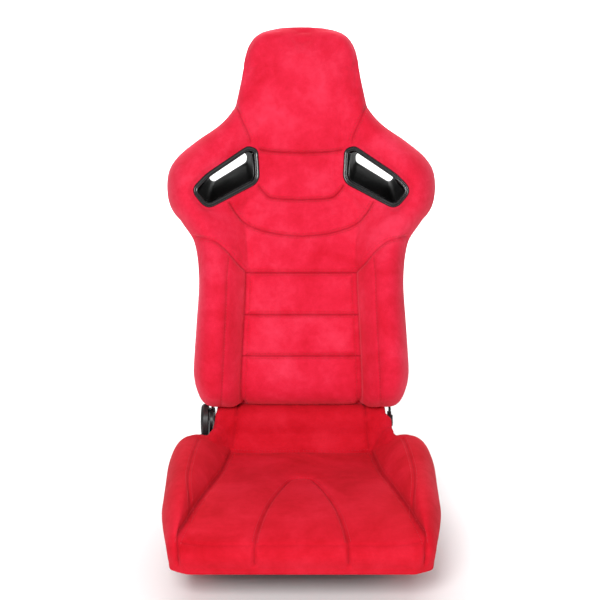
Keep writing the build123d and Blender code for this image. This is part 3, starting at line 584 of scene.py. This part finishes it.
def build_backrest():
    edge_s = right_edge[:, 1]
    rows, columns = 210, 150
    u = across(columns, 0.35)
    s = spread(FOOT_S, CROWN_S, rows, 0.3)
    order = np.argsort(edge_s)
    half = np.interp(s, edge_s[order], right_edge[order, 0]) - 1.0
    half += 4.0 * smooth01((s - 380) / 50) * smooth01((640 - s) / 60)  # cloth stands proud of the shoulders
    half[0] = 168
    x = half[:, None] * u[None, :]
    ss = np.repeat(s[:, None], columns, 1)
    n = back_n(x, ss)
    n[:, 0] = n[:, -1] = LIP + 0.6
    n[0, :] = n[-1, :] = LIP + 0.6
    face = on_back(x, ss, n)
    base = on_back(x, ss, np.full(x.shape, LIP))
    cover = pillow("backrest_cover", rows, columns, face, base)
    hole = grow(mouth_xs, -3.0)
    for side in (1, -1):
        outline = hole * [side, 1]
        if side < 0:
            outline = outline[::-1]
        cutter = prism("cutter", outline, flat_on_back, -60, 160)
        cut(cover, cutter)
    remesh(cover, 4.4, 4)
    co = verts_of(cover)
    x, s, n = to_back(co)
    hang = (2.5 + 8.0 * smooth01((np.abs(x) - 108) / 34)) * smooth01((n - 12) / 26) * smooth01((72 - s) / 40)
    set_verts(cover, co - hang[:, None] * UP)
    return cover


def inflate(obj, held, cap_mm, pressure):
    """Cloth pressure inside a closed cover, held (0 to 1) along its seams; no point moves over cap_mm."""
    start = verts_of(obj)
    group = obj.vertex_groups.new(name="held")
    level = np.round(held * 10).astype(int)
    for step in range(1, 11):
        group.add(np.where(level == step)[0].tolist(), step / 10, "REPLACE")
    cloth = obj.modifiers.new("pressure", "CLOTH")
    cloth.settings.quality = 4
    cloth.settings.use_pressure = True
    cloth.settings.uniform_pressure_force = pressure
    cloth.settings.vertex_group_mass = "held"
    cloth.settings.effector_weights.gravity = 0
    cloth.point_cache.frame_end = CLOTH_FRAMES
    for number in range(1, CLOTH_FRAMES + 1):
        scene.frame_set(number)
    apply_modifiers(obj)
    scene.frame_set(1)
    moved = verts_of(obj) - start
    far = np.linalg.norm(moved, axis=1)
    set_verts(obj, start + moved * np.minimum(1, cap_mm / np.maximum(far, 1e-6))[:, None])


def subdivide(obj):
    mod = obj.modifiers.new("fine", "SUBSURF")
    mod.levels = 1
    mod.render_levels = 1
    apply_modifiers(obj)


def carve(cover, to_local, seams, depth, width, seam_shade_share, puff, reach, lines_3d=()):
    """Pushes seams in and panels out, along the surface normals, and puts painted shade along the sewn lines.
    """
    co = verts_of(cover)
    no = normals_of(cover)
    x, y, weight = to_local(co, no)
    groove, swell = seam_field(np.abs(x), y, seams, depth, width, puff, reach)
    painted_seam_shade = np.zeros(len(co))
    for name, line in seams.items():
        near = distance(np.abs(x), y, line)
        painted_seam_shade = np.maximum(painted_seam_shade, np.exp(-((near / SEAM_SHADE_WIDTH) ** 2)) * seam_shade_share[name])
    painted_seam_shade *= weight
    move = (swell - groove) * weight
    # The 3-D seams get a pushed-in groove and painted shade too.
    for line in lines_3d:
        near = distance_3d(co, line)
        move -= 3.5 * np.exp(-((near / 4.0) ** 2))
        painted_seam_shade = np.maximum(painted_seam_shade, 0.4 * np.exp(-((near / SEAM_SHADE_WIDTH) ** 2)))
    set_verts(cover, co + no * move[:, None])
    # The painted seam shade is stored in the crease attribute, which the suede materials read.
    seam_shade_attribute = cover.data.attributes.new("crease", "FLOAT", "POINT")
    seam_shade_attribute.data.foreach_set("value", painted_seam_shade * 0.9)


def distance_3d(points, line):
    """Distance from points to a polyline in space, on both sides of the middle."""
    p = points * [0, 1, 1] + np.abs(points) * [1, 0, 0]
    best = np.full(len(p), 1e9)
    for a, b in zip(line[:-1], line[1:]):
        ab = b - a
        t = np.clip((p - a) @ ab / (ab @ ab), 0, 1)
        best = np.minimum(best, np.linalg.norm(p - a - t[:, None] * ab, axis=1))
    return best


def back_local(co, no):
    x, s, n = to_back(co)
    facing = smooth01((no @ FORWARD) * 2.0 + 0.35)
    clear = smooth01((n - LIP - 4) / 12)
    near = distance(np.abs(x), s, mouth_xs, closed=True)
    return x, s, facing * clear * smooth01((near - 2) / 10)


def stitches(name, cover, lines, lift=0.25, pitch=6.2, length=4.2, radius=0.55):
    """Sewn stitches as small rods lying on a cover. lines: (points in mm, direction to cast from)."""
    tree = BVHTree.FromObject(cover, bpy.context.evaluated_depsgraph_get())
    verts, faces = [], []
    ring = 6
    for points, cast in lines:
        steps = np.linalg.norm(np.diff(points, axis=0), axis=1)
        total = np.concatenate([[0], np.cumsum(steps)])
        for at in np.arange(pitch / 2, total[-1] - length, pitch):
            ends = []
            for t in (at, at + length / 2, at + length):
                p = np.array([np.interp(t, total, points[:, k]) for k in range(3)])
                start = Vector((p + np.asarray(cast) * 150) * MM)
                hit = tree.ray_cast(start, Vector(-np.asarray(cast)), 0.3)
                if hit[0] is None:
                    break
                ends.append((np.array(hit[0]) / MM, np.array(hit[1])))
            if len(ends) < 3 or np.linalg.norm(ends[0][0] - ends[2][0]) > 2.2 * length:
                continue
            along = ends[2][0] - ends[0][0]
            along /= np.linalg.norm(along)
            base = len(verts)
            for k, ((p, nrm), r, up) in enumerate(zip(ends, (0.45, 1.0, 0.45), (-0.35, 1.0, -0.35))):
                across = np.cross(along, nrm)
                across /= np.linalg.norm(across) + 1e-9
                for a in np.arange(ring) / ring * 2 * pi:
                    verts.append(p + nrm * (lift * up + radius * r * sin(a)) + across * radius * r * cos(a))
            for k in range(2):
                for a in range(ring):
                    b = (a + 1) % ring
                    low, high = base + k * ring, base + (k + 1) * ring
                    faces.append((low + a, low + b, high + b, high + a))
            faces.append([base + a for a in range(ring)][::-1])
            faces.append([base + 2 * ring + a for a in range(ring)])
    obj = make_object(name, np.array(verts), faces)
    paint(obj, THREAD)
    return obj


def shift_line(line, by):
    """Open polyline moved sideways by a distance."""
    p = np.asarray(line, float)
    along = np.gradient(p, axis=0)
    along /= np.linalg.norm(along, axis=1)[:, None] + 1e-9
    return p + np.stack([-along[:, 1], along[:, 0]], 1) * by


def held_along(cover, to_local, seams, reach=7.0):
    """How firmly each point of a cover is held before it swells: sewn lines and everything not facing out."""
    co = verts_of(cover)
    x, y, weight = to_local(co, normals_of(cover))
    near = np.full(len(co), 1e9)
    for line in seams.values():
        near = np.minimum(near, distance(np.abs(x), y, line))
    return np.maximum(np.exp(-((near / reach) ** 2)), 1 - weight)


backrest = build_backrest()
inflate(backrest, held_along(backrest, back_local, back_seams), 7.0, 4.0)
subdivide(backrest)
carve(backrest, back_local, back_seams, SEAM_DEPTH, SEAM_WIDTH, SEAM_SHADE, 3.0, 14.0)
paint(backrest, LIT_BACK_RED)
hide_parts("backrest_main_pad", "backrest_chest_pad", "headrest_pad", "backrest_bolster_left",
            "backrest_bolster_right", "shoulder_wing_left", "shoulder_wing_right")
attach(backrest, "backrest")

# ---------------------------------------------------------------- seat cover
plan_half = [
    (0, -368), (120, -368), (200, -367), (222, -361), (236, -351), (245, -336), (252, -308), (257, -276),
    (262.5, -230), (264, -184), (265.5, -120), (267, -60), (266, -15), (262, 21), (250, 50), (230, 62),
    (190, 63), (0, 63),
]
plan_right = rounded(plan_half, 5)
plan_sides = plan_right[(plan_right[:, 1] < 30) | (plan_right[:, 0] > 240)]
top_z = curve([
    (-368, 134), (-356, 139), (-335, 145), (-300, 150), (-250, 152), (-190, 148), (-100, 137), (0, 125),
    (63, 120),
])
side_z = curve([
    (-368, 136), (-350, 152), (-321, 172), (-280, 184), (-235, 190), (-130, 189), (-36, 183), (10, 176),
    (40, 169), (63, 161),
])
foot_x = curve([(-368, 218), (-309, 210), (-184, 184), (-44, 157), (40, 145), (63, 143)])
ridge_x = curve([(-368, 228), (-321, 222), (-235, 220), (-130, 221), (-36, 220), (30, 214), (63, 206)])
seat_r = curve([(-368, 46), (-300, 40), (-200, 44), (-60, 44), (20, 38), (63, 32)])
FLOOR_Z = 87.5  # underside of the cushion
SEAT_FRONT, SEAT_REAR = -367, 63


def seat_z(x, y):
    """Height of the cushion's top before seams."""
    ax = np.abs(x)
    zc, zb, xf, xr = top_z(y), side_z(y), foot_x(y), ridge_x(y)
    t = np.clip((ax - xf) / np.maximum(xr - xf, 8), 0, 1)
    z = zc + (zb - zc) * np.sin(pi / 2 * t) ** 0.9
    z += 3.5 * np.cos(np.clip(ax / xf, 0, 1) * pi / 2)
    d = distance(ax, y, plan_sides)
    r = seat_r(y)
    front = smooth01((-300 - y) / 50)
    r = r * (1 - front) + 24 * front
    t = np.clip(d / r, 0, 1)
    fall = np.sqrt(np.clip(1 - (1 - t) ** 2.3, 0, 1))
    back = np.sqrt(np.clip(1 - (1 - np.clip((66 - y) / 20, 0, 1)) ** 2.3, 0, 1))
    outer = smooth01((ax - 176) / 24)
    fall = fall * (back * outer + 1 - outer)
    return FLOOR_Z + (z - FLOOR_Z) * fall


def build_seat():
    rows, columns = 130, 150
    y = spread(SEAT_FRONT, SEAT_REAR, rows, 0.5)
    keep = plan_right[(plan_right[:, 0] > 150) | (plan_right[:, 1] < -300)]
    keep = keep[(keep[:, 0] > 100)]
    order = np.argsort(keep[:, 1])
    half = np.interp(y, keep[order, 1], keep[order, 0]) - 0.6
    u = across(columns, 0.4)
    x = half[:, None] * u[None, :]
    yy = np.repeat(y[:, None], columns, 1)
    z = seat_z(x, yy)
    z[:, 0] = z[:, -1] = FLOOR_Z + 1
    z[0, :] = FLOOR_Z + 1
    face = np.stack([x, yy, z], 2)
    base = np.stack([x, yy, np.full(x.shape, FLOOR_Z)], 2)
    cushion = pillow("cushion", rows, columns, face, base)
    # Tail: rises from the crease and rolls round the recline axis; its ends swell forward into the bolsters.
    roll = [(120 + 34.9 * cos(a), 165 + 34.9 * sin(a)) for a in np.radians(np.arange(180, -1, -9))]
    front = [(52, 90), (54, 118), (66, 124), (78, 136), (85, 151)]
    under = [(153, 120), (153, 113), (98, 109), (62, 97)]
    profile = np.array(front + roll + under)
    ends = profile.copy()
    ends[:9] = [
        (44, 90), (24, 152), (34, 165), (50, 170), (64, 174), (75, 177.5), (83, 181), (90, 185), (95, 188.8),
    ]
    rings = []
    for k in np.linspace(-1, 1, 71):
        k = np.sign(k) * (1 - (1 - abs(k)) ** 1.5)
        swell = smooth01((abs(k) * 174 - 133) / 36)
        p = profile * (1 - swell) + ends * swell
        shrink = 1 - 0.06 * max(0, (abs(k) - 0.93) / 0.07) ** 2
        p = np.array([112.0, 140.0]) + (p - [112.0, 140.0]) * shrink
        if k > 0:
            reach = 13 * smooth01((100 - p[:, 0]) / 5)
        else:
            reach = 4 * smooth01((109 - p[:, 0]) / 3) + 9 * smooth01((68 - p[:, 0]) / 7)
        rings.append(np.stack([k * (174 + reach), p[:, 0], p[:, 1]], 1))
    tail = loft("tail", rings, close_ends=True)
    cover = join("seat_cover", cushion, tail)
    remesh(cover, 4.2, 4)
    co = verts_of(cover)
    tuck = smooth01((138 - co[:, 2]) / 52)
    out = smooth01((np.abs(co[:, 0]) - 120) / 80) * smooth01((66 - co[:, 1]) / 6)
    co[:, 0] *= 1 - (0.055 - 0.04 * smooth01((-300 - co[:, 1]) / 50)) * tuck * out
    co[:, 1] += 9 * smooth01((128 - co[:, 2]) / 38) * smooth01((-330 - co[:, 1]) / 30)
    co[:, 2] -= 5 * smooth01((110 - co[:, 2]) / 14) * smooth01((-290 - co[:, 1]) / 50)
    set_verts(cover, co)
    return cover


seat_seams = {
    "side": rounded([
        (143, 62), (156, -44), (170, -114), (184, -184), (198, -250), (211, -309), (220, -345), (226, -372),
    ], 5),
    "wedge": rounded([
        (0, -89), (12, -91), (24, -104), (40, -149), (58, -214), (71, -274), (80, -326), (84, -360),
        (85, -380),
    ], 5),
    "crease": np.array([(0, 57), (80, 57.5), (143, 61)], float),
    "crest": rounded([(205, 20), (210, -60), (213, -150), (210, -205), (204, -250), (204, -285)], 5),
    "nose": rounded([(0, -352), (90, -352), (180, -350), (224, -340)], 5),
}
SEAT_DEPTH = {"side": 5.2, "wedge": 4.6, "crease": 5.0, "crest": 1.6, "nose": 1.8}
SEAT_WIDTH = {"wedge": 3.6, "crest": 3.0}
# How much painted shade each seat seam gets.
SEAT_SEAM_SHADE = {"side": 0.55, "wedge": 0.5, "crease": 0.3, "crest": 0.35, "nose": 0.12}
tail_seam = np.array([
    (143, 60, 121), (140, 68, 126), (137, 80, 138), (135, 86, 152), (134, 87, 172), (133, 98, 192),
    (132, 114, 199), (132, 132, 198),
], float)


def seat_local(co, no):
    up = smooth01(no[:, 2] * 2.0 + 0.4)
    front = smooth01(-no[:, 1] * 2.0)
    clear = smooth01((co[:, 2] - 96) / 12)
    return co[:, 0], co[:, 1], np.maximum(up, front) * clear * smooth01((70 - co[:, 1]) / 8)


seat = build_seat()
inflate(seat, held_along(seat, seat_local, seat_seams), 6.0, 4.0)
subdivide(seat)
carve(seat, seat_local, seat_seams, SEAT_DEPTH, SEAT_WIDTH, SEAT_SEAM_SHADE, 2.5, 16.0, [tail_seam])
paint(seat, SHADED_SEAT_RED)
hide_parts("seat_centre_pad", "seat_bolster_left", "seat_bolster_right")
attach(seat, "seat_base")

# ---------------------------------------------------------------- stitching
STITCH_GAP = 5.0  # from a seam to the row of stitches on each side
back_lines = []
for name, line in back_seams.items():
    if name == "flank":
        offsets = (0.0,)
    elif name in ("chest", "bolster_top", "collar"):
        offsets = (-STITCH_GAP, STITCH_GAP)
    else:
        offsets = (STITCH_GAP, -STITCH_GAP)
    for by in offsets:
        moved = shift_line(line, by)
        for side in (1, -1):
            back_lines.append((on_back(moved[:, 0] * side, moved[:, 1], np.zeros(len(moved))), FORWARD))
back_stitches = stitches("backrest_stitching", backrest, back_lines)
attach(back_stitches, "backrest")
seat_lines = []
for name, line in seat_seams.items():
    if name == "nose":
        continue
    for by in (-STITCH_GAP, STITCH_GAP):
        moved = shift_line(line[line[:, 1] > -352], by)
        for side in (1, -1):
            points = np.stack([moved[:, 0] * side, moved[:, 1], np.full(len(moved), 100.0)], 1)
            seat_lines.append((points, np.array([0, 0, 1.0])))
seat_stitches = stitches("seat_stitching", seat, seat_lines)
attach(seat_stitches, "seat_base")

# ---------------------------------------------------------------- harness guides
slot_corners = np.array([(196, 509), (186, 500), (116, 543), (116, 557), (123, 563), (162, 540)], float)
TUNNEL_REAR = -62.0  # where the tunnels end


def on_mouth(u, v, w, side):
    """Points on the mouth's plane: u across, v up, w out of it; side +1 is the occupant's left."""
    x = MOUTH_X + u * cos(tilt) - w * sin(tilt)
    n = MOUTH_N + u * sin(tilt) + w * cos(tilt)
    return on_back(x * side, MOUTH_S + v, n)


def build_guide(name, side):
    """Bezel with a raised bead, and a tapered tunnel to the slot."""
    slot_ring = corner_round(slot_corners, 6)
    profile = [
        (0.5, -9), (1.2, -2), (0.6, 1.2), (-0.8, 2.6), (-2.6, 2.8), (-4.0, 2.0), (-5.0, 1.6), (-6.0, 2.4),
        (-7.4, 2.5), (-8.6, 1.4), (-9.4, -1.5), (-10.2, -8),
    ]
    rings = []
    for out, w in profile:
        o = grow(mouth, out)
        rings.append(on_mouth(o[:, 0], o[:, 1], np.full(len(o), float(w)), side))
    inner = grow(mouth, -10.2)
    start = on_mouth(inner[:, 0], inner[:, 1], np.full(len(inner), -8.0), side)
    end = on_back(slot_ring[:, 0] * side, slot_ring[:, 1], np.full(len(slot_ring), TUNNEL_REAR))
    for t in np.linspace(0.1, 1, 10):
        rings.append(start * (1 - t) + end * t)
    outer_end = grow(slot_ring, 2.4)
    outer_end = on_back(outer_end[:, 0] * side, outer_end[:, 1], np.full(len(outer_end), TUNNEL_REAR))
    outer = grow(mouth, -6.5)
    outer_start = on_mouth(outer[:, 0], outer[:, 1], np.full(len(outer), -10.0), side)
    for t in np.linspace(1, 0, 8):
        rings.append(outer_start * (1 - t) + outer_end * t)
    guide = loft(name, rings, loop=True)
    paint(guide, GLOSS)
    guide.data.materials.append(SHADED_SATIN)
    # The tunnel's faces get the darker lining, painted shade.
    for face in guide.data.polygons:
        if face.index // len(mouth) >= len(profile) - 1:
            face.material_index = 1
    return guide


for side, word in ((1, "left"), (-1, "right")):
    guide = build_guide(f"harness_bezel_{word}", side)
    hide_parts(f"harness_guide_{word}")
    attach(guide, "backrest")

# ---------------------------------------------------------------- back shell
rear_n = curve([
    (20, -40), (100, -52), (300, -62), (480, -62), (600, -50), (700, -40), (785, -35), (832, -30),
])
SHELL_FRONT, SHELL_WALL, SHELL_ROUND = -8.4, 3.0, 13.0
PANEL_INSET, PANEL_DEPTH = 60.0, 2.6
RIB_S, RIB_WIDTH = (112, 156, 200, 244, 288), 9.0


def shell_face(x, s):
    """Rear face of the shell: rounded rim, sunk middle panel, and ribs across its lower half."""
    ax = np.abs(x)
    d = distance(ax, s, right_edge)
    rim = SHELL_ROUND * (1 - np.sqrt(np.clip(1 - np.clip(1 - d / SHELL_ROUND, 0, 1) ** 2, 0, 1)))
    clear_of_slot = smooth01((distance(ax, s, slot_corners, closed=True) - 20) / 8)
    clear_of_slot *= ~inside(ax, s, slot_corners)
    sunk = smooth01((d - PANEL_INSET) / 7) * smooth01((s - 84) / 8) * clear_of_slot
    ribs = sum(np.exp(-((s - at) / RIB_WIDTH) ** 4) for at in RIB_S) * smooth01((118 - ax) / 12)
    return rear_n(s) + rim + PANEL_DEPTH * sunk * (1 - np.clip(ribs, 0, 1))


def shell_block(name, rows, columns, inset, wall, foot_s, front):
    """Closed solid behind the backrest: its rear face, moved in by wall, to a flat front."""
    order = np.argsort(right_edge[:, 1])
    s = np.linspace(foot_s, right_edge[-1, 1] - 0.6 - inset, rows)
    level = s + inset * smooth01((s - 700) / 100)
    half = np.interp(level, right_edge[order, 1], right_edge[order, 0]) - inset - 0.2
    x = np.maximum(half, 8)[:, None] * across(columns, 0.6)
    s = np.repeat(s[:, None], columns, 1)
    place = on_back(x, s, shell_face(x, s) + wall)
    return pillow(name, rows, columns, place, on_back(x, s, np.full(x.shape, front)))


def box_cutter(low, high):
    """Box in (x, s, n) on the backrest."""
    (x0, s0, n0), (x1, s1, n1) = low, high
    outline = [(x0, s0), (x1, s0), (x1, s1), (x0, s1)]
    return prism("cutter", outline, flat_on_back, n0, n1)


def build_shell():
    shell = shell_block("backrest_shell", 250, 150, 0.0, 0.0, 34.0, SHELL_FRONT)
    cutters = [shell_block("cutter", 120, 80, SHELL_WALL, SHELL_WALL, 24.0, 6.0)]
    cutters.append(box_cutter((-193, 8, -40), (193, 52, 4)))
    for side in (1, -1):
        near, far = sorted((172 * side, 300 * side))
        cutters.append(box_cutter((near, 0, -80), (far, 70, -30)))
        outline = grow(corner_round(slot_corners, 6), 3.2) * [side, 1]
        cutters.append(prism("cutter", outline, flat_on_back, -90, -30))
    for solid in [shell] + cutters:
        face_out(solid)
    cut(shell, *cutters)
    return shell


shell = build_shell()
paint(shell, SHELL)
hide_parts("back_shell")
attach(shell, "backrest")

# ---------------------------------------------------------------- floor, light, camera
bpy.ops.mesh.primitive_plane_add(size=14, location=(0, 2, 0))
floor = bpy.context.object
floor.name = "floor"
paint(floor, material("floor_paper", (0.93, 0.93, 0.93), rough=0.9)[0])

world = bpy.data.worlds.new("studio")
scene.world = world
world.use_nodes = True
background = world.node_tree.nodes["Background"]
background.inputs["Color"].default_value = (1, 1, 1, 1)
background.inputs["Strength"].default_value = 0.34


def area_light(name, place, target, size, power):
    data = bpy.data.lights.new(name, "AREA")
    data.shape = "SQUARE"
    data.size = size
    data.energy = power
    obj = bpy.data.objects.new(name, data)
    scene.collection.objects.link(obj)
    obj.location = place
    obj.rotation_euler = (Vector(target) - Vector(place)).to_track_quat("-Z", "Y").to_euler()


# name, place, target (m), side of the square (m), power (W)
area_light("key", (-0.6, -2.8, 2.3), (0, 0, 0.5), 1.1, 88)
area_light("fill", (1.9, -2.2, 1.3), (0, 0, 0.5), 1.6, 11)
area_light("top", (0, 0.5, 3.0), (0, 0, 0.5), 1.8, 8)
area_light("floor_near", (0, 2.8, 2.4), (0, 2.8, 0), 3.0, 120)
area_light("floor_far", (0, 6.4, 3.0), (0, 6.4, 0), 4.0, 220)

SENSOR = 36
FOCAL_SHARE = 1456 / 600  # focal length as a share of the picture's width
LOOK_DOWN = 20.3
camera_data = bpy.data.cameras.new("camera")
camera_data.sensor_width = SENSOR
camera_data.lens = FOCAL_SHARE * SENSOR
camera_data.clip_end = 50
camera = bpy.data.objects.new("camera", camera_data)
scene.collection.objects.link(camera)
camera.location = (-0.0025, -2.630, 1.449)
camera.rotation_euler = (radians(90 - LOOK_DOWN), 0, 0)
scene.camera = camera
